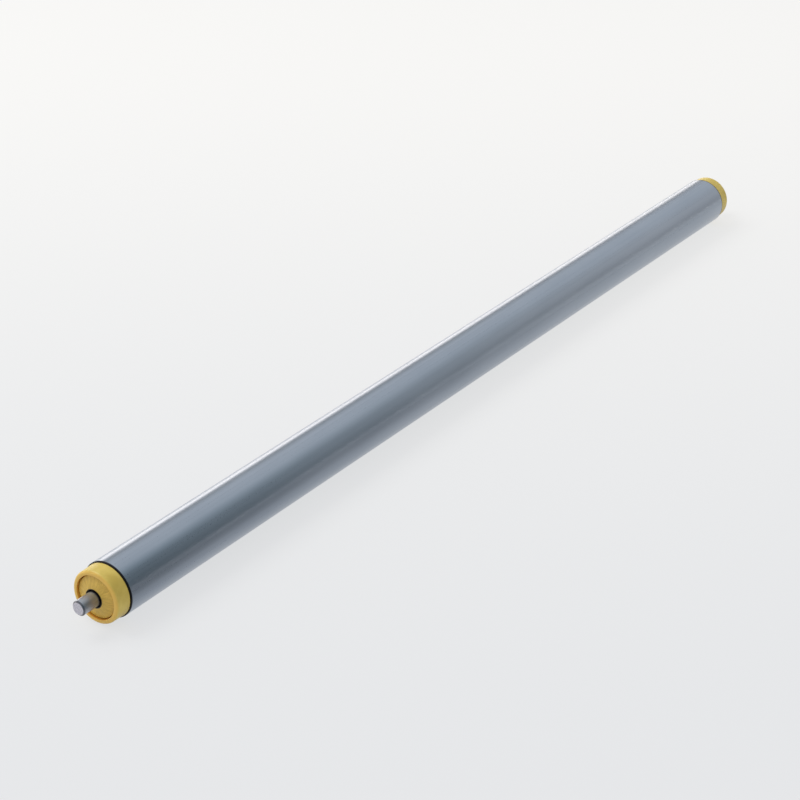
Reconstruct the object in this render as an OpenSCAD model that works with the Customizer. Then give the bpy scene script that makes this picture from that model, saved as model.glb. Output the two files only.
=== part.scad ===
// Conveyor roller: a plated steel tube that runs on two moulded ball bearings, on a sprung axle.
// The roller lies along X, with the middle of its tube at the origin. A bearing is drawn along Z
// from the end face of the tube, outwards, and is then laid into each end.

/* [Tube] */
// Outside diameter of the tube
tube_d = 30; // [29:0.5:40]
// Length of the tube
tube_length = 600; // [200:10:1000]
// Wall thickness of the tube
tube_wall = 1.2; // [1:0.1:1.5]
// Chamfer round the outer edge of each tube end
tube_chamfer = 0.3; // [0.1:0.05:0.5]
// Chamfer where the bore of the tube is deburred
tube_deburr = 0.05; // [0.02:0.01:0.1]

/* [Axle] */
// Diameter of the axle
axle_d = 8; // [6:0.5:9]
// How far each end of the axle stands out of its end disc
axle_free = 11; // [8:0.5:20]
// Chamfer on each end of the axle
axle_chamfer = 0.8; // [0.3:0.1:1.5]
// How far the axle can be pushed in before its spring is solid
axle_travel = 12; // [6:0.5:16]
// Play between the axle and the inner rings that it slides in, on the radius
slide_gap = 0.06; // [0.02:0.01:0.1]
// Depth of the ring groove that marks where the free end starts
mark_depth = 0.25; // [0.1:0.05:0.5]
// Width of that groove
mark_w = 0.8; // [0.6:0.1:1.5]

/* [Housing] */
// Height of the collar outside the tube
collar_h = 9; // [8:0.25:12]
// How far the collar laps over the end face of the tube
collar_step = 0.6; // [0.55:0.05:0.8]
// Chamfer round the back of the collar, which leaves a groove beside the tube
collar_relief = 0.35; // [0.2:0.05:0.4]
// How much the collar narrows towards its front, on the radius
collar_taper = 0.2; // [0:0.05:0.6]
// Rounding of the front shoulder of the collar
collar_round = 1.4; // [0.5:0.1:1.5]
// Width of the rim round the recess in the front
rim_w = 2.45; // [2.2:0.05:2.8]
// Depth of the recess that holds the end disc
recess_depth = 4; // [3.5:0.25:4.5]
// Thickness of the web behind the recess
web_t = 2; // [1.2:0.1:2.5]
// How deep the plug reaches into the tube
plug_length = 12; // [8:0.5:25]
// Wall thickness of the plug
plug_wall = 2; // [1.2:0.1:2.5]
// How far the ribs of the plug stand out to grip the tube
rib_h = 0.2; // [0.1:0.05:0.4]
// Width of a rib
rib_w = 1.2; // [0.8:0.1:2]
// Number of ribs round the plug
rib_count = 12; // [6:1:18]

/* [Bearing] */
// Diameter of a ball
ball_d = 4.76; // [4.4:0.01:5]
// Number of balls in each bearing
ball_count = 10; // [9:1:11]
// Gap between two neighbouring balls
ball_gap = 0.35; // [0.1:0.05:0.5]
// Play between a ball and its races, on the radius
race_gap = 0.1; // [0.05:0.01:0.15]
// Angle that the shoulder of each race reaches round the ball
race_angle = 50; // [35:1:55]
// Length of the inner ring behind its race
ring_back = 3; // [2:0.25:6]
// Height of the bead that the end disc snaps over
bead_h = 0.2; // [0.1:0.05:0.3]

/* [End disc] */
// Gap between the end disc and the recess round it
disc_gap = 0.45; // [0.3:0.05:0.6]
// How far the edge of the disc lies below the front of the collar
disc_sink = 1.1; // [0.5:0.05:1.5]
// Thickness of the disc at its edge
disc_t = 1.5; // [1:0.1:2]
// Height of the disc's cone, from its edge to its hole
cone_h = 2; // [0.5:0.1:2.5]
// Width of the flat land round that hole, and of the one at the disc's edge
disc_land = 0.6; // [0.4:0.1:1]
// Radial clearance of the disc's hole round the axle
mouth_gap = 0.7; // [0.6:0.05:1]
// Wall of the socket that grips the inner ring
socket_wall = 1.3; // [0.8:0.1:1.5]
// Wall of the skirt that keeps dust out of the balls
skirt_wall = 0.9; // [0.6:0.1:1.2]
// Gap between the skirt and the web
skirt_gap = 0.4; // [0.3:0.05:0.6]
// Gap between the balls and the back of the disc
disc_back_gap = 0.6; // [0.4:0.05:1]

/* [Spring and clips] */
// Wire diameter of the spring
wire_d = 1.2; // [0.8:0.1:1.4]
// Gap between the axle and the inside of the spring
spring_gap = 0.6; // [0.3:0.1:1]
// Number of turns, with the closed one at each end
spring_turns = 12; // [8:1:16]
// Thickness of a retaining clip
clip_t = 0.9; // [0.7:0.1:1.2]
// Width of a clip from its groove to its outer edge
clip_w = 3.4; // [2.8:0.1:4]
// Depth of a clip groove in the axle
groove_depth = 0.5; // [0.3:0.05:0.8]
// Thickness of the spring's washer
washer_t = 1; // [0.5:0.1:2]
// Outside diameter of the washer
washer_d = 14; // [13:0.5:16]

/* [Hidden] */
$fn = 96;
eps = 0.01;
seat_gap = 0.02; // left between faces that meet but belong to pieces which slide on each other
edge_round = 0.35; // rounding of the small moulded edges

tube_r = tube_d / 2;
bore_r = tube_r - tube_wall;
axle_r = axle_d / 2;

// bearing: the balls all but touch each other, and this sets the radius of their circle
ball_r = ball_d / 2;
pitch_r = (ball_r + ball_gap / 2) / sin(180 / ball_count);
race_r = ball_r + race_gap;
outer_race_r = pitch_r + race_r;
inner_race_r = pitch_r - race_r;
shoulder_r = race_r * cos(race_angle);
shoulder_z = race_r * sin(race_angle);

// housing
collar_r = bore_r + collar_step;
front_r = collar_r - collar_taper;
recess_r = front_r - rim_w;
recess_z = collar_h - recess_depth;
ball_z = recess_z - web_t - shoulder_z;
web_hole_r = pitch_r + shoulder_r;
plug_r = bore_r - rib_h;
plug_bore_r = plug_r - plug_wall;

// inner ring
ring_bore_r = axle_r + slide_gap;
ring_back_z = ball_z - shoulder_z - ring_back;
ring_front_z = collar_h - disc_sink - disc_t + bead_h * 4;
bead_z = ring_front_z - bead_h * 6;

// end disc
disc_r = recess_r - disc_gap;
disc_edge_z = collar_h - disc_sink;
disc_under_z = disc_edge_z - disc_t;
disc_top_z = disc_edge_z + cone_h;
disc_back_z = ball_z + ball_r + disc_back_gap;
mouth_r = axle_r + mouth_gap;
socket_r = inner_race_r + socket_wall;
skirt_r = web_hole_r - skirt_gap;

// axle
axle_end = tube_length / 2 + disc_top_z + axle_free;
mark_x = tube_length / 2 + disc_top_z - mark_w;
stop_x = tube_length / 2 + ring_back_z - seat_gap - clip_t;

// spring, between the right inner ring and its washer; solid_length is that of touching turns
spring_r = axle_r + spring_gap + wire_d / 2;
solid_length = (spring_turns + 1) * (wire_d + 0.05);
spring_length = solid_length + axle_travel;
spring_end_x = tube_length / 2 + ring_back_z - seat_gap;
washer_x = spring_end_x - spring_length - washer_t;
spring_clip_x = washer_x - clip_t;

LEFT_BALLS = [for (i = [1:ball_count]) str("left_ball_", i)];
RIGHT_BALLS = [for (i = [1:ball_count]) str("right_ball_", i)];

// Lays a bearing piece into the right end of the tube.
module at_right() {
    translate([tube_length / 2, 0, 0]) rotate([0, 90, 0]) children();
}

// Lays a bearing piece into the left end of the tube.
module at_left() {
    translate([-tube_length / 2, 0, 0]) rotate([0, -90, 0]) children();
}

// The part of a profile to take off its corner at the origin, to round it. The profile is in +X and +Y.
module corner_off(radius) {
    difference() {
        translate([-eps, -eps]) square(radius + eps);
        translate([radius, radius]) circle(radius);
    }
}

// A tube between two heights on the Z axis.
module ring(outer, inner, low, high) {
    translate([0, 0, low]) difference() {
        cylinder(r = outer, h = high - low);
        translate([0, 0, -1]) cylinder(r = inner, h = high - low + 2);
    }
}

module tube() {
    half = tube_length / 2;
    color("#8f9aa6") rotate([0, 90, 0]) rotate_extrude() polygon([
        [tube_r, -half + tube_chamfer], [tube_r, half - tube_chamfer], [tube_r - tube_chamfer, half],
        [bore_r + tube_deburr, half], [bore_r, half - tube_deburr],
        [bore_r, -half + tube_deburr], [bore_r + tube_deburr, -half], [tube_r - tube_chamfer, -half]
    ]);
}

// Collar, web and plug are one moulding. The outer race is sunk in the web from behind.
module housing() {
    lead = 0.6;
    color("#e2b93f") {
        rotate_extrude() difference() {
            polygon([
                [plug_bore_r, -plug_length], [plug_r - lead / 2, -plug_length], [plug_r, lead - plug_length],
                [plug_r, 0], [collar_r - collar_relief, 0], [collar_r, collar_relief],
                [front_r, collar_h / 2], [front_r, collar_h],
                [recess_r, collar_h], [recess_r, recess_z], [web_hole_r, recess_z],
                [web_hole_r, ball_z + shoulder_z], [pitch_r, ball_z + shoulder_z],
                [pitch_r, ball_z - race_r], [outer_race_r, ball_z - race_r],
                [plug_bore_r, ball_z - race_r - (plug_bore_r - outer_race_r)]
            ]);
            translate([pitch_r, ball_z]) circle(race_r);
            translate([pitch_r - eps, ball_z - race_r - eps]) square([race_r + eps, race_r + eps]);
            translate([front_r, collar_h]) rotate(180) corner_off(collar_round);
            translate([recess_r, collar_h]) rotate(-90) corner_off(edge_round);
        }
        intersection() {
            ring(bore_r, plug_r - rib_h, lead - plug_length, -lead);
            for (i = [0 : rib_count - 1])
                rotate(i * 360 / rib_count) translate([0, -rib_w / 2, -plug_length])
                    cube([tube_r, rib_w, plug_length]);
        }
    }
}

// The race is cut from the front, so that the ring's back shoulder pushes the balls outwards.
module inner_ring() {
    chamfer = 0.4;
    back_r = pitch_r - shoulder_r;
    color("#d9d6cb") rotate_extrude() difference() {
        polygon([
            [ring_bore_r + chamfer, ring_back_z], [back_r - chamfer, ring_back_z],
            [back_r, ring_back_z + chamfer], [back_r, ball_z], [inner_race_r, ball_z],
            [inner_race_r, bead_z - bead_h], [inner_race_r + bead_h, bead_z],
            [inner_race_r, bead_z + bead_h], [inner_race_r, ring_front_z - chamfer],
            [inner_race_r - chamfer, ring_front_z], [ring_bore_r + chamfer, ring_front_z],
            [ring_bore_r, ring_front_z - chamfer], [ring_bore_r, ring_back_z + chamfer]
        ]);
        translate([pitch_r, ball_z]) circle(race_r);
    }
}

// A shallow cone with a socket that snaps over the inner ring, and a skirt that runs in the web.
module end_disc() {
    color("#c9993a") rotate_extrude() difference() {
        polygon([
            [mouth_r, ring_front_z], [mouth_r, disc_top_z], [mouth_r + disc_land, disc_top_z],
            [disc_r - disc_land, disc_edge_z], [disc_r, disc_edge_z],
            [disc_r, disc_under_z], [skirt_r, disc_under_z], [skirt_r, disc_back_z],
            [skirt_r - skirt_wall, disc_back_z], [skirt_r - skirt_wall, disc_under_z],
            [socket_r, disc_under_z], [socket_r, disc_back_z], [inner_race_r, disc_back_z],
            [inner_race_r, bead_z - bead_h], [inner_race_r + bead_h, bead_z],
            [inner_race_r, bead_z + bead_h], [inner_race_r, ring_front_z]
        ]);
        translate([disc_r, disc_edge_z]) rotate(180) corner_off(edge_round);
        translate([mouth_r, disc_top_z]) rotate(-90) corner_off(edge_round);
    }
}

module ball(number) {
    color("#c4c8ce") rotate(360 * (number - 1) / ball_count) translate([pitch_r, 0, ball_z])
        sphere(ball_r);
}

module axle() {
    floor_r = axle_r - groove_depth;
    mark_r = axle_r - mark_depth;
    color("#b4b9c2") rotate([0, 90, 0]) difference() {
        rotate_extrude() polygon([
            [0, -axle_end], [axle_r - axle_chamfer, -axle_end], [axle_r, axle_chamfer - axle_end],
            [axle_r, axle_end - axle_chamfer], [axle_r - axle_chamfer, axle_end], [0, axle_end]
        ]);
        ring(axle_r + 1, floor_r, -stop_x - clip_t - eps, -stop_x + eps);
        ring(axle_r + 1, floor_r, spring_clip_x - eps, spring_clip_x + clip_t + eps);
        ring(axle_r + 1, mark_r, mark_x, mark_x + mark_w);
        ring(axle_r + 1, mark_r, -mark_x - mark_w, -mark_x);
    }
}

// An open ring with three inner lands, pushed into its groove from the side.
module retaining_clip(low_x) {
    land_r = axle_r - groove_depth;
    clip_r = land_r + clip_w;
    relief_r = clip_w * 0.3;
    color("#4a4d52") translate([low_x, 0, 0]) rotate([90, 0, 90]) linear_extrude(clip_t) difference() {
        circle(clip_r);
        circle(land_r);
        for (side = [-1, 1]) rotate(90 + side * 50) translate([land_r + relief_r / 2, 0]) circle(relief_r);
        translate([-land_r * 0.85, -clip_r - 1]) square([land_r * 1.7, clip_r + 1]);
    }
}

module spring_washer() {
    color("#a9adb3") rotate([0, 90, 0])
        ring(washer_d / 2, axle_r + spring_gap / 3, washer_x, washer_x + washer_t);
}

// A round wire swept along a helix whose first and last turns are closed.
module axle_spring() {
    steps = 16; // along one turn
    sides = 8; // round the wire
    wire_r = wire_d / 2;
    closed_pitch = wire_d + 0.05;
    open_pitch = (spring_length - seat_gap - wire_d - 2 * closed_pitch) / (spring_turns - 2);
    last = spring_turns * steps;
    function along(turn) =
        turn <= 1 ? turn * closed_pitch :
        turn >= spring_turns - 1
            ? spring_length - seat_gap - wire_d - (spring_turns - turn) * closed_pitch :
        closed_pitch + (turn - 1) * open_pitch;
    points = [for (i = [0 : last], k = [0 : sides - 1])
        let (a = 360 * i / steps, b = 360 * k / sides, out = spring_r + wire_r * cos(b))
        [washer_x + washer_t + seat_gap + wire_r + along(i / steps) + wire_r * sin(b),
         out * cos(a), out * sin(a)]];
    skin = [for (i = [0 : last - 1], k = [0 : sides - 1])
        let (next = (k + 1) % sides)
        [i * sides + k, i * sides + next, (i + 1) * sides + next, (i + 1) * sides + k]];
    start_cap = [[for (k = [sides - 1 : -1 : 0]) k]];
    end_cap = [[for (k = [0 : sides - 1]) last * sides + k]];
    color("#6f757d") polyhedron(points, concat(skin, start_cap, end_cap), convexity = 10);
}

tube();
at_left() housing();  // left_housing
at_right() housing();  // right_housing
at_left() inner_ring();  // left_inner_ring
at_right() inner_ring();  // right_inner_ring
at_left() end_disc();  // left_end_disc
at_right() end_disc();  // right_end_disc
axle();
retaining_clip(-stop_x - clip_t);  // stop_clip
retaining_clip(spring_clip_x);  // spring_clip
spring_washer();
axle_spring();
for (i = [1:ball_count]) {
    at_left() ball(i);
    at_right() ball(i);
}
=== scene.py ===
"""A gravity conveyor roller: a zinc-plated steel tube that runs on two yellow moulded ball
bearings, on a sprung steel axle. It lies along X on a pale floor, and its middle is the origin."""
from math import cos, pi, radians, sin, tau

import bmesh
import bpy
from mathutils import Matrix, Vector


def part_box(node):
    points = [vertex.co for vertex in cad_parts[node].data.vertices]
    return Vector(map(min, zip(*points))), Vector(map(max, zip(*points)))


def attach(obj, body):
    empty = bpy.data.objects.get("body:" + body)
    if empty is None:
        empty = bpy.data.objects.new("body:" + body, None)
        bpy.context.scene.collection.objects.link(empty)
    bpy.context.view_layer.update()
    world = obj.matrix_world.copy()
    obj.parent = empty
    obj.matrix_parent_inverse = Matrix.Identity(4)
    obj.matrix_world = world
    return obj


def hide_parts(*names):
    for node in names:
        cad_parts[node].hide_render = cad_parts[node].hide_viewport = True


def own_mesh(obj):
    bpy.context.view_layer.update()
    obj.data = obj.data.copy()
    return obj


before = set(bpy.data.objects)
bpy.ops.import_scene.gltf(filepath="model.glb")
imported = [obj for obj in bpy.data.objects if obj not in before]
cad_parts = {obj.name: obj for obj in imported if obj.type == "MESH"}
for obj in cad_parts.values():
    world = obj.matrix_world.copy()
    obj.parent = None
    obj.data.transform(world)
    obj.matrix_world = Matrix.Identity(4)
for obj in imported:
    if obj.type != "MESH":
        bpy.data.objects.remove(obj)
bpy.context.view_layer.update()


# ---------------------------------------------------------------------------------------- Tube
# A welded and drawn steel tube, 30 mm across with a wall of 1.2 mm, cut square and deburred.
# It is zinc plated, which leaves a satin blue-grey skin over faint drawing lines that run
# along it. It is pressed over the plug of a bearing housing at each end.
mm = 0.001
around = 192  # steps round every turned piece
crease = 35  # degrees between faces, over which an edge stays sharp

tube_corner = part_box("tube")[1]
tube_r = tube_corner.z
end_x = tube_corner.x
tube_wall = 1.2 * mm
tube_bore_r = tube_r - tube_wall
tube_chamfer = 0.3 * mm
tube_deburr = 0.05 * mm
joint_shade_width = 0.6 * mm  # how far the painted shade of the joint with the collar reaches from the cut end onto the tube
joint_shade_fade = 0.3 * mm

zinc_dark = (0.35, 0.40, 0.47)
zinc_light = (0.41, 0.46, 0.53)
joint_shade_colour = (0.03, 0.03, 0.035)


def turned(outline, closed=True):
    """A shape spun round X from an outline of points (x, radius)."""
    shape = bmesh.new()
    corners = [shape.verts.new((x, 0, r)) for x, r in outline]
    pairs = zip(corners, corners[1:] + corners[:1] if closed else corners[1:])
    edges = [shape.edges.new(pair) for pair in pairs]
    bmesh.ops.spin(
        shape, geom=corners + edges, cent=(0, 0, 0), axis=(1, 0, 0), angle=tau, steps=around,
        use_merge=True)
    bmesh.ops.remove_doubles(shape, verts=shape.verts, dist=0.001 * mm)
    bmesh.ops.recalc_face_normals(shape, faces=shape.faces)
    return shape


def finished(name, shape, body, finish, node):
    """The object of a shape: it rides on a body, and stands for that CAD node."""
    mesh = bpy.data.meshes.new(name)
    shape.to_mesh(mesh)
    shape.free()
    mesh.shade_smooth()
    mesh.set_sharp_from_angle(angle=radians(crease))
    mesh.materials.append(finish.data)
    made = bpy.data.objects.new(name, mesh)
    bpy.context.scene.collection.objects.link(made)
    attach(made, body)
    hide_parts(node)
    return made


class Value:
    """A number that varies over a surface. Maths on it adds Math nodes to its finish."""

    def __init__(self, finish, socket):
        self.finish = finish
        self.socket = socket

    def output(self, key):
        """Another output of the node that this value comes from."""
        return Value(self.finish, self.socket.node.outputs[key])

    def math(self, operation, *others):
        return self.finish.node("ShaderNodeMath", (self, *others), operation=operation)

    def __add__(self, other):
        return self.math("ADD", other)

    def __sub__(self, other):
        return self.math("SUBTRACT", other)

    def __mul__(self, other):
        return self.math("MULTIPLY", other)

    def __truediv__(self, other):
        return self.math("DIVIDE", other)

    def __pow__(self, other):
        return self.math("POWER", other)

    def __lt__(self, other):
        return self.math("LESS_THAN", other)

    def __neg__(self):
        return self * -1

    def __abs__(self):
        return self.math("ABSOLUTE")

    def __rsub__(self, other):
        return -self + other

    __radd__ = __add__
    __rmul__ = __mul__

    def ramp(self, low, high):
        """0 where the value is under low, 1 where it is over high, and smooth between."""
        return self.finish.node(
            "ShaderNodeMapRange", (self, low, high, 0, 1), interpolation_type="SMOOTHSTEP")


class Finish:
    """A material whose Principled shader has its constants set by name, or a world."""

    def __init__(self, name, kind=bpy.data.materials, **constants):
        self.data = kind.new(name)
        self.data.use_nodes = True
        self.tree = self.data.node_tree
        self.shader = self.tree.nodes.get("Principled BSDF")
        for socket, value in constants.items():
            self.shader.inputs[socket.replace("_", " ")].default_value = value

    def node(self, kind, inputs=(), **settings):
        """A node: its settings are made first, then its sockets filled in order or by name."""
        made = self.tree.nodes.new(kind)
        for name, value in settings.items():
            setattr(made, name, value)
        pairs = inputs.items() if isinstance(inputs, dict) else enumerate(inputs)
        for key, value in pairs:
            if isinstance(value, Value):
                self.tree.links.new(value.socket, made.inputs[key])
            else:
                made.inputs[key].default_value = value
        return Value(self, made.outputs[0])

    def feed(self, **values):
        """Links values to the shader's sockets."""
        for socket, value in values.items():
            self.tree.links.new(value.socket, self.shader.inputs[socket.replace("_", " ")])

    def place(self, scale):
        """Object coordinates, in metres, times a scale along each axis."""
        spot = self.node("ShaderNodeTexCoord").output("Object")
        return self.node("ShaderNodeMapping", {"Vector": spot, "Scale": scale})

    def axes(self):
        """Object coordinates as three values, in millimetres."""
        parts = self.node("ShaderNodeSeparateXYZ", [self.place((1 / mm, 1 / mm, 1 / mm))])
        return [parts.output(axis) for axis in "XYZ"]

    def noise(self, scale, detail=2, roughness=0.5):
        """Noise of about that many spots to a metre, along each axis."""
        return self.node("ShaderNodeTexNoise", {
            "Vector": self.place(scale), "Scale": 1, "Detail": detail, "Roughness": roughness})

    def mix(self, amount, first, second):
        """A colour between two colours, each a colour of three numbers or a value."""
        ends = [end if isinstance(end, Value) else (*end, 1) for end in (first, second)]
        # A Mix node has sockets of one name for each kind of data, so those for colours
        # go by their numbers.
        mixed = self.node(
            "ShaderNodeMix", {0: amount, 6: ends[0], 7: ends[1]}, data_type="RGBA")
        return mixed.output(2)

    def bump(self, height, strength, depth):
        """A normal from a height between 0 and 1, which is that deep in metres."""
        return self.node(
            "ShaderNodeBump", {"Height": height, "Strength": strength, "Distance": depth})


plated = Finish("zinc plated steel", Metallic=1.0)
drawn_lines = plated.noise((3, 700, 700), detail=1)
broad_lines = plated.noise((1.5, 160, 160), detail=2)
clouds = plated.noise((14, 60, 60), detail=4, roughness=0.6)
grain = plated.noise((2600, 2600, 2600), detail=1)
tone = clouds * 0.5 + broad_lines * 0.3 + drawn_lines * 0.2
zinc_colour = plated.mix(tone.ramp(0.3, 0.7), zinc_dark, zinc_light)
along = abs(plated.axes()[0])
# The cut ends and their last 0.6 mm are painted near black: painted shade of the joint between
# tube and collar.
joint_shade = along.ramp((end_x - joint_shade_width - joint_shade_fade) / mm, (end_x - joint_shade_width) / mm)
plated.feed(
    Base_Color=plated.mix(joint_shade, zinc_colour, joint_shade_colour),
    Roughness=0.25 + drawn_lines * 0.04 + grain * 0.03 + joint_shade * 0.2,
    Normal=plated.bump(drawn_lines, 0.08, 0.01 * mm))

tube_shape = turned([
    (-end_x, tube_bore_r + tube_deburr), (-end_x, tube_r - tube_chamfer),
    (-end_x + tube_chamfer, tube_r), (end_x - tube_chamfer, tube_r),
    (end_x, tube_r - tube_chamfer), (end_x, tube_bore_r + tube_deburr),
    (end_x - tube_deburr, tube_bore_r), (-end_x + tube_deburr, tube_bore_r)])
finished("plated_tube", tube_shape, "shell", plated, "tube")


# ----------------------------------------------------------------------------------- Housings
# The outer half of each bearing, moulded in yellow plastic: a collar that stands outside the
# tube with a recess in its front, a web with the outer race, and a ribbed plug that grips the
# inside of the tube. Its outline is measured outwards from the end face of the tube.
collar_h = 9 * mm
collar_r = 14.4 * mm
collar_relief = 0.35 * mm
front_r = 14.2 * mm
collar_round = 1.4 * mm
recess_r = 11.75 * mm
recess_z = 5 * mm
web_back = 3 * mm
web_hole_r = 9.862 * mm
race_r = 2.48 * mm
race_start = 40  # degrees from the axle's direction
race_end = 90
race_steps = 10
pitch_r = 8.268 * mm
ball_z = 1.1 * mm
race_top_r = pitch_r + race_r
race_back = ball_z - race_r
plug_bore_r = 11.6 * mm
plug_r = 13.6 * mm
plug_length = 12 * mm
lead_in = 0.6 * mm  # the chamfer that leads the plug into the tube
lead_in_depth = 0.3 * mm
rib_width = 1.2 * mm
rib_height = 0.6 * mm
rib_gap = 0.02 * mm
rib_count = 12
edge_round = 0.35 * mm
front_shade_back = 1.2 * mm  # behind its front face, where the painted shade of the front starts
front_shade_full = 0.1 * mm
recess_shade_spread = 0.15 * mm

side_dark = (0.64, 0.47, 0.08)
side_light = (0.78, 0.60, 0.13)
front_shade_colour = (0.76, 0.48, 0.085)
recess_shade_colour = (0.78, 0.38, 0.05)

housing_plastic = Finish("yellow moulded plastic", Roughness=0.4)
flow = housing_plastic.noise((110, 110, 110), detail=3)
speckle = housing_plastic.noise((1800, 1800, 1800), detail=1)
x, y, z = housing_plastic.axes()
front_x = end_x + collar_h
# The front of the collar is painted darker and more orange than its side: painted shade where it
# faces away from the light.
front = abs(x).ramp((front_x - front_shade_back) / mm, (front_x - front_shade_full) / mm)
# Everything inside the recess's radius is painted orange-brown: painted shade in the recess and
# the hollows behind it.
recess = y * y + z * z < ((recess_r + recess_shade_spread) / mm) ** 2
side_colour = housing_plastic.mix(flow.ramp(0.3, 0.7), side_dark, side_light)
outside_colour = housing_plastic.mix(front, side_colour, front_shade_colour)
housing_plastic.feed(
    Base_Color=housing_plastic.mix(recess, outside_colour, recess_shade_colour),
    Roughness=0.34 + speckle * 0.12,
    Normal=housing_plastic.bump(speckle, 0.2, 0.02 * mm))


def at_end(side, shape):
    """Lays a shape, drawn outwards from the tube's end face along +X, at one end of the tube."""
    if side < 0:
        half_turn = Matrix.Rotation(pi, 3, "Z")
        bmesh.ops.rotate(shape, verts=shape.verts, cent=(0, 0, 0), matrix=half_turn)
    bmesh.ops.translate(shape, verts=shape.verts, vec=(side * end_x, 0, 0))
    return shape


def rounded(shape, x, r, radius, steps=5):
    """Rounds the ring edge of a turned shape at (x, radius)."""
    near = 0.002 * mm
    ring = [edge for edge in shape.edges if all(
        abs(v.co.x - x) < near and abs(v.co.yz.length - r) < near for v in edge.verts)]
    bmesh.ops.bevel(
        shape, geom=ring, offset=radius, offset_type="OFFSET", affect="EDGES", segments=steps,
        profile=0.5, material=-1)


def arc(centre_x, centre_r, radius, start, end, steps):
    """Points of an arc, with angles in degrees from +X towards larger radii."""
    turns = [radians(start + (end - start) * i / steps) for i in range(steps + 1)]
    return [(centre_x + radius * cos(a), centre_r + radius * sin(a)) for a in turns]


def even(made):
    """Keeps broad flat faces evenly shaded beside their small rounded edges."""
    modifier = made.modifiers.new("even shading", "WEIGHTED_NORMAL")
    modifier.keep_sharp = True


for side, name in ((-1, "left"), (1, "right")):
    shape = turned([
        (-plug_length, plug_bore_r), (-plug_length, plug_r - lead_in_depth),
        (-plug_length + lead_in, plug_r), (0, plug_r), (0, collar_r - collar_relief),
        (collar_relief, collar_r), (collar_h / 2, front_r), (collar_h, front_r),
        (collar_h, recess_r), (recess_z, recess_r), (recess_z, web_hole_r),
        (web_back, web_hole_r), *arc(ball_z, pitch_r, race_r, race_start, race_end, race_steps),
        (race_back, race_top_r), (race_back - (plug_bore_r - race_top_r), plug_bore_r)])
    rounded(shape, collar_h, front_r, collar_round, steps=8)
    rounded(shape, collar_h, recess_r, edge_round)
    for number in range(rib_count):
        rib = bmesh.ops.create_cube(shape, size=1)["verts"]
        bmesh.ops.scale(
            shape, verts=rib, vec=(plug_length - 2 * lead_in, rib_width, rib_height))
        bmesh.ops.translate(
            shape, verts=rib, vec=(-plug_length / 2, 0, tube_bore_r - rib_gap - rib_height / 2))
        bmesh.ops.rotate(
            shape, verts=rib, cent=(0, 0, 0),
            matrix=Matrix.Rotation(tau * number / rib_count, 3, "X"))
    even(finished(
        f"{name}_bearing_housing", at_end(side, shape), "shell",
        housing_plastic, f"{name}_housing"))


# ---------------------------------------------------------------------------------- End discs
# The cover of each bearing, moulded in a browner yellow plastic: a shallow cone with a hole for
# the axle, whose edge is painted near black as painted shade round the axle. A socket at its
# back snaps over the inner ring, and a skirt keeps dust out of the balls.
disc_r = 11.3 * mm
disc_edge_z = 7.9 * mm
disc_under_z = 6.4 * mm
disc_under_round = 0.15 * mm
disc_top_z = 9.9 * mm
disc_back_z = 4.08 * mm
disc_land = 0.6 * mm
mouth_r = 4.7 * mm
mouth_back_z = 7.2 * mm
socket_r = 7.088 * mm
socket_bore_r = 5.788 * mm
skirt_r = 9.462 * mm
skirt_bore_r = 8.562 * mm
mouth_shade_width = 0.35 * mm
mouth_shade_fade = 0.25 * mm
ray_density = 12  # spots of noise to a radian round the disc
ray_drift = 0.3  # and to a millimetre outwards, so few that the spots stretch into rays

ochre_dark = (0.53, 0.34, 0.05)
ochre_light = (0.71, 0.475, 0.08)
mouth_shade_colour = (0.03, 0.025, 0.015)

disc_plastic = Finish("ochre moulded plastic")
y, z = disc_plastic.axes()[1:]
radius = (y * y + z * z) ** 0.5
ray_place = disc_plastic.node("ShaderNodeCombineXYZ", [
    y / radius * ray_density, z / radius * ray_density, radius * ray_drift])
rays = disc_plastic.node("ShaderNodeTexNoise", {"Vector": ray_place, "Scale": 1, "Detail": 2})
stipple = disc_plastic.noise((1500, 1500, 1500), detail=1)
disc_tone = (rays * 0.75 + stipple * 0.25).ramp(0.3, 0.7)
disc_colour = disc_plastic.mix(disc_tone, ochre_dark, ochre_light)
# The rim of the axle's hole is painted near black: painted shade round the axle.
mouth_shade_r = mouth_r + mouth_shade_width
mouth_shade = 1 - radius.ramp(mouth_shade_r / mm, (mouth_shade_r + mouth_shade_fade) / mm)
disc_plastic.feed(
    Base_Color=disc_plastic.mix(mouth_shade, disc_colour, mouth_shade_colour),
    Roughness=0.42 + stipple * 0.15,
    Normal=disc_plastic.bump(rays * 0.6 + stipple * 0.4, 0.4, 0.05 * mm))

for side, name in ((-1, "left"), (1, "right")):
    shape = turned([
        (mouth_back_z, mouth_r), (disc_top_z, mouth_r), (disc_top_z, mouth_r + disc_land),
        (disc_edge_z, disc_r - disc_land), (disc_edge_z, disc_r), (disc_under_z, disc_r),
        (disc_under_z, skirt_r), (disc_back_z, skirt_r), (disc_back_z, skirt_bore_r),
        (disc_under_z, skirt_bore_r), (disc_under_z, socket_r), (disc_back_z, socket_r),
        (disc_back_z, socket_bore_r), (mouth_back_z, socket_bore_r)])
    rounded(shape, disc_edge_z, disc_r, edge_round)
    rounded(shape, disc_top_z, mouth_r, edge_round)
    rounded(shape, disc_under_z, disc_r, disc_under_round, steps=3)
    even(finished(
        f"{name}_cover_disc", at_end(side, shape), "bearing_seats",
        disc_plastic, f"{name}_end_disc"))


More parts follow.
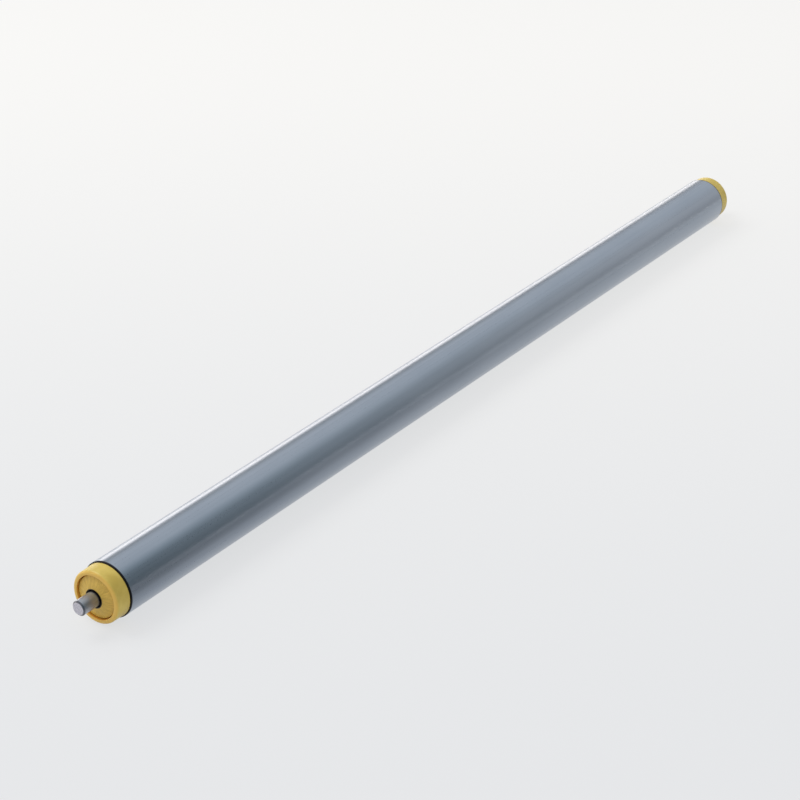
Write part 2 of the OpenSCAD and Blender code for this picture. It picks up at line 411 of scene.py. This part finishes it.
# --------------------------------------------------------------------------------------- Axle
# A cold-drawn bright steel bar, 8 mm across, chamfered at both ends and free to slide in the
# inner rings. A shallow ring groove near each end marks where its free end starts, and two
# deeper ones inside the tube hold the clips.
axle_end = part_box("axle")[1].x
axle_r = 4 * mm
axle_chamfer = 0.8 * mm
axle_chamfer_round = 0.12 * mm
mark_near = 309.1 * mm
mark_far = 309.9 * mm
mark_r = 3.75 * mm
clip_groove_r = 3.5 * mm
root_shade_before = 0.3 * mm  # how far the painted shade at the axle's root, round the mark groove, reaches in and out
root_shade_after = 1.2 * mm
face_from = 0.12 * mm
face_full = 0.02 * mm
chamfer_shade_blur = 0.1 * mm
chamfer_shade_share = 0.85
stop_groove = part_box("stop_clip")
spring_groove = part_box("spring_clip")

bar_dark = (0.34, 0.375, 0.43)
bar_light = (0.47, 0.505, 0.56)
chamfer_shade_colour = (0.10, 0.10, 0.115)
root_shade_colour = (0.04, 0.04, 0.045)
face_dark = (0.40, 0.39, 0.44)
face_light = (0.66, 0.65, 0.70)

bright_steel = Finish("bright drawn steel", Metallic=0.85)
bar_lines = bright_steel.noise((20, 2500, 2500), detail=2)
mottle = bright_steel.noise((2200, 2200, 2200), detail=3)
along = abs(bright_steel.axes()[0])
# The chamfer at each end is painted dark: painted shade on the chamfer.
chamfer_x = axle_end - axle_chamfer
chamfer = along.ramp(
    (chamfer_x - chamfer_shade_blur) / mm, (chamfer_x + chamfer_shade_blur) / mm) * chamfer_shade_share
end_face = along.ramp((axle_end - face_from) / mm, (axle_end - face_full) / mm)
# Round the mark groove, where the axle enters the disc, the bar is painted near black: painted
# shade at the root of the axle.
at_groove = along.ramp((mark_near - root_shade_before) / mm, mark_near / mm)
past_groove = along.ramp(mark_far / mm, (mark_far + root_shade_after) / mm)
root_shade = at_groove * (1 - past_groove)
bar_colour = bright_steel.mix(bar_lines, bar_dark, bar_light)
bar_colour = bright_steel.mix(chamfer, bar_colour, chamfer_shade_colour)
bar_colour = bright_steel.mix(root_shade, bar_colour, root_shade_colour)
face_colour = bright_steel.mix(mottle.ramp(0.35, 0.65), face_dark, face_light)
bright_steel.feed(
    Base_Color=bright_steel.mix(end_face, bar_colour, face_colour),
    Roughness=0.28 + bar_lines * 0.12 + end_face * mottle * 0.1,
    Normal=bright_steel.bump(bar_lines * (1 - end_face) + mottle * end_face, 0.3, 0.02 * mm))

axle_shape = turned([
    (-axle_end, 0), (-axle_end, axle_r - axle_chamfer), (-axle_end + axle_chamfer, axle_r),
    (-mark_far, axle_r), (-mark_far, mark_r), (-mark_near, mark_r), (-mark_near, axle_r),
    (stop_groove[0].x, axle_r), (stop_groove[0].x, clip_groove_r),
    (stop_groove[1].x, clip_groove_r), (stop_groove[1].x, axle_r),
    (spring_groove[0].x, axle_r), (spring_groove[0].x, clip_groove_r),
    (spring_groove[1].x, clip_groove_r), (spring_groove[1].x, axle_r),
    (mark_near, axle_r), (mark_near, mark_r), (mark_far, mark_r), (mark_far, axle_r),
    (axle_end - axle_chamfer, axle_r), (axle_end, axle_r - axle_chamfer), (axle_end, 0)],
    closed=False)
for edge_x in (-axle_end, axle_end):
    rounded(axle_shape, edge_x, axle_r - axle_chamfer, axle_chamfer_round, steps=3)
even(finished("bright_axle", axle_shape, "axle_body", bright_steel, "axle"))


# -------------------------------------------------------------------------- Bearing inner parts
# The inner ring slides on the axle, and is painted near black as painted shade deep in the
# axle's hole. Ten hardened steel balls run between it and the housing without a cage.
ball_count = 10

inner_ring_shade_dark = (0.015, 0.014, 0.012)
inner_ring_shade_light = (0.03, 0.028, 0.025)
ball_dark = (0.56, 0.57, 0.59)
ball_light = (0.64, 0.65, 0.67)

# The inner ring is painted black: painted shade in the hole round the axle.
inner_ring_shade = Finish("inner ring painted black as shade")
ring_flow = inner_ring_shade.noise((250, 250, 250), detail=3)
inner_ring_shade.feed(
    Base_Color=inner_ring_shade.mix(ring_flow.ramp(0.3, 0.7), inner_ring_shade_dark, inner_ring_shade_light),
    Roughness=0.36 + ring_flow * 0.12,
    Normal=inner_ring_shade.bump(ring_flow, 0.2, 0.03 * mm))

polished_steel = Finish("polished ball steel", Metallic=1.0)
ball_haze = polished_steel.noise((700, 700, 700), detail=2)
polished_steel.feed(
    Base_Color=polished_steel.mix(ball_haze, ball_dark, ball_light),
    Roughness=0.06 + ball_haze * 0.08)


def dressed(node, finish):
    """Gives a CAD node its finish."""
    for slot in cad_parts[node].material_slots:
        slot.material = finish.data


for name in ("left", "right"):
    dressed(f"{name}_inner_ring", inner_ring_shade)
    for number in range(1, ball_count + 1):
        dressed(f"{name}_ball_{number}", polished_steel)


# ----------------------------------------------------------------------- Spring, washer, clips
# Inside the tube a compression spring holds the right end of the axle out. It bears on the
# right inner ring and on a zinc-plated washer, which a clip in a groove of the axle holds. The
# stop clip at the left keeps the axle from being pushed out. Both clips are black oxide steel.
wire_r = 0.6 * mm
wire_sides = 16
coil_r = 5.2 * mm
coils = 12
closed_pitch = 1.25 * mm
steps_per_coil = 32

wire_dark = (0.20, 0.21, 0.23)
wire_light = (0.30, 0.31, 0.33)
oxide_dark = (0.05, 0.052, 0.06)
oxide_light = (0.09, 0.092, 0.10)
washer_dark = (0.44, 0.46, 0.49)
washer_light = (0.54, 0.56, 0.59)

spring_wire = Finish("drawn spring wire", Metallic=1.0)
wire_lines = spring_wire.noise((1200, 1200, 1200), detail=2)
spring_wire.feed(
    Base_Color=spring_wire.mix(wire_lines, wire_dark, wire_light),
    Roughness=0.3 + wire_lines * 0.15)
black_oxide = Finish("black oxide steel", Metallic=1.0)
oxide = black_oxide.noise((800, 800, 800), detail=3)
black_oxide.feed(
    Base_Color=black_oxide.mix(oxide, oxide_dark, oxide_light),
    Roughness=0.35 + oxide * 0.2)
washer_plating = Finish("zinc plated washer", Metallic=1.0)
washer_grain = washer_plating.noise((900, 900, 900), detail=3)
washer_plating.feed(
    Base_Color=washer_plating.mix(washer_grain, washer_dark, washer_light),
    Roughness=0.3 + washer_grain * 0.15)

dressed("stop_clip", black_oxide)
dressed("spring_clip", black_oxide)
dressed("spring_washer", washer_plating)

spring_low, spring_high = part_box("axle_spring")
open_coils = coils - 2  # the first coil and the last are wound close
open_pitch = (spring_high.x - spring_low.x - 2 * wire_r - 2 * closed_pitch) / open_coils
spring_shape = bmesh.new()
section = bmesh.ops.create_circle(spring_shape, radius=wire_r, segments=wire_sides)["verts"]
quarter_turn = Matrix.Rotation(pi / 2, 3, "X")
bmesh.ops.rotate(spring_shape, verts=section, cent=(0, 0, 0), matrix=quarter_turn)
bmesh.ops.translate(spring_shape, verts=section, vec=(spring_low.x + wire_r, 0, coil_r))
live = section + list(spring_shape.edges)
for turns, pitch in ((1, closed_pitch), (open_coils, open_pitch), (1, closed_pitch)):
    live = bmesh.ops.spin(
        spring_shape, geom=live, cent=(0, 0, 0), axis=(1, 0, 0), angle=turns * tau,
        dvec=(pitch / steps_per_coil, 0, 0), steps=turns * steps_per_coil,
        use_merge=False)["geom_last"]
wire_ends = [edge for edge in spring_shape.edges if edge.is_boundary]
bmesh.ops.holes_fill(spring_shape, edges=wire_ends, sides=wire_sides)
bmesh.ops.recalc_face_normals(spring_shape, faces=spring_shape.faces)
spring = finished(
    "compression_spring", spring_shape, "axle_body", spring_wire, "axle_spring")
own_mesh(spring)


# ------------------------------------------------------------------------------------- Studio
# The roller rests on a flat pale sheet, with one large soft lamp above and behind it, and the
# camera looks down on its left end. The steel shows what it mirrors, so the sheet and the room
# have a bright side behind the roller and a darker one in front.
lens = 98.88
azimuth = radians(-54.97)
elevation = radians(27.29)
camera_distance = 1268.4 * mm
camera_right = -32.55 * mm
camera_up = -21.97 * mm
view_x, view_y = 0.819, 0.574  # the way that the camera looks, on the floor

camera_data = bpy.data.cameras.new("camera")
camera_data.lens = lens
camera = bpy.data.objects.new("camera", camera_data)
bpy.context.scene.collection.objects.link(camera)
back = Vector((sin(azimuth) * cos(elevation), -cos(azimuth) * cos(elevation), sin(elevation)))
right = (-back).cross(Vector((0, 0, 1))).normalized()
up = right.cross(-back)
camera_place = back * camera_distance + right * camera_right + up * camera_up
camera.matrix_world = (
    Matrix.Translation(camera_place) @ Matrix((right, up, back)).transposed().to_4x4())
bpy.context.scene.camera = camera

# The sheet is painted lighter further from the camera, as painted light falloff. Seen or mirrored
# it mostly glows with that colour, which keeps its shadow faint, but what the roller mirrors of
# it is dark in front, mostly near the left end.
sheet_size = 6  # metres from its middle to each side
sheet_near_shaded = (0.81, 0.82, 0.83)
sheet_far_lit = (0.945, 0.94, 0.92)
sheet_dark = (0.02, 0.03, 0.035)
plain_share = 0.8
front_darkness = 0.62
further_darkness = 0.12
left_gain = 1.33
right_loss = 1.05

sheet = Finish("pale studio sheet", Roughness=0.9, Specular_IOR_Level=0.1)
x, y = sheet.axes()[:2]
painted_falloff = (x * view_x + y * view_y).ramp(-450, 650)
sheet_colour = sheet.mix(painted_falloff, sheet_near_shaded, sheet_far_lit)
sheet.feed(Base_Color=sheet_colour)
sheet_ray = sheet.node("ShaderNodeLightPath")
mirrored = sheet_ray.output("Is Glossy Ray")
plain = (sheet_ray.output("Is Camera Ray") + mirrored) * plain_share
in_front = (-y).ramp(0, 55) * front_darkness + (-y).ramp(30, 150) * further_darkness
near_left = left_gain - x.ramp(-500, 600) * right_loss
sheet_glow = sheet.node("ShaderNodeEmission", {
    "Color": sheet.mix(mirrored * (in_front * near_left), sheet_colour, sheet_dark),
    "Strength": 1})
sheet_surface = sheet.node(
    "ShaderNodeMixShader", [plain, Value(sheet, sheet.shader.outputs["BSDF"]), sheet_glow])
sheet.tree.links.new(
    sheet_surface.socket, sheet.tree.nodes["Material Output"].inputs["Surface"])

floor_shape = bmesh.new()
bmesh.ops.create_grid(floor_shape, x_segments=4, y_segments=4, size=sheet_size)
bmesh.ops.translate(floor_shape, verts=floor_shape.verts, vec=(0, 0, -tube_r))
floor_mesh = bpy.data.meshes.new("floor")
floor_shape.to_mesh(floor_mesh)
floor_shape.free()
floor_mesh.materials.append(sheet.data)
floor = bpy.data.objects.new("floor", floor_mesh)
bpy.context.scene.collection.objects.link(floor)

lamp_data = bpy.data.lights.new("key lamp", "AREA")
lamp_data.energy = 22
lamp_data.size = 1.2
lamp_data.color = (1, 0.985, 0.94)
lamp = bpy.data.objects.new("key lamp", lamp_data)
bpy.context.scene.collection.objects.link(lamp)
lamp.location = (-0.3, 1.3, 1.9)
lamp.rotation_euler = (-lamp.location).to_track_quat("-Z", "Y").to_euler()

# The room, as metal mirrors it, is bright behind and above, with a rim of light at the horizon
# and a dark line over it, and dim in front, mostly where the roller's left end mirrors it.
lit_level = 0.76
line_drop = 0.5
rim_gain = 1.9
dim_level = 0.85
dim_behind = 0.35
low_drop = 0.3
rim_tint = (1.1, 1.0, 0.92)
lit_tint = (0.97, 1.0, 1.03)
dim_tint_left = (0.72, 1.04, 1.18)
dim_tint_right = (1.02, 1.0, 1.0)
fill_right = (0.42, 0.43, 0.49)
fill_left = (0.80, 0.80, 0.84)
background = (0.86, 0.87, 0.87)

room = Finish("studio", bpy.data.worlds)
bpy.context.scene.world = room.data
direction = room.node(
    "ShaderNodeSeparateXYZ", [room.node("ShaderNodeTexCoord").output("Generated")])
east, north, height = [direction.output(axis) for axis in "XYZ"]
# The lean goes in degrees from the horizon behind the roller (0) over the ceiling (90) to the
# horizon in front of it (180).
lean = height.math("ARCTAN2", north) * (180 / pi)
lit = 1 - lean.ramp(85, 140)
line = lean.ramp(16, 26) * (1 - lean.ramp(34, 44))
rim = 1 - lean.ramp(8, 22)
low = lean.ramp(140, 185)
dark_corner = east.ramp(0.48, 0.53) * (1 - east.ramp(0.56, 0.60)) * lean.ramp(100, 125)
dim = east.ramp(0.45, 0.95) * dim_level + (1 - east.ramp(0.25, 0.50)) * dim_behind
front_level = dim * (1 - dark_corner) * (1 - low * low_drop)
brightness = lit * (lit_level - line * line_drop + rim * rim_gain) + (1 - lit) * front_level
room_tint = room.mix(east.ramp(0.55, 0.82), dim_tint_left, dim_tint_right)
room_tint = room.mix(lit, room_tint, lit_tint)
room_tint = room.mix(rim, room_tint, rim_tint)
mirrored_room = room.node(
    "ShaderNodeVectorMath", {"Vector": room_tint, "Scale": brightness}, operation="SCALE")

# What lights the roller softly from all round comes more from the camera's left.
left_side = (north * view_x - east * view_y).ramp(-1, 1)
fill = room.mix(left_side, fill_right, fill_left)
room_ray = room.node("ShaderNodeLightPath")
room_colour = room.mix(room_ray.output("Is Glossy Ray"), fill, mirrored_room)
room_colour = room.mix(room_ray.output("Is Camera Ray"), room_colour, background)
room.tree.links.new(room_colour.socket, room.tree.nodes["Background"].inputs["Color"])

bpy.context.scene.view_settings.view_transform = "Standard"
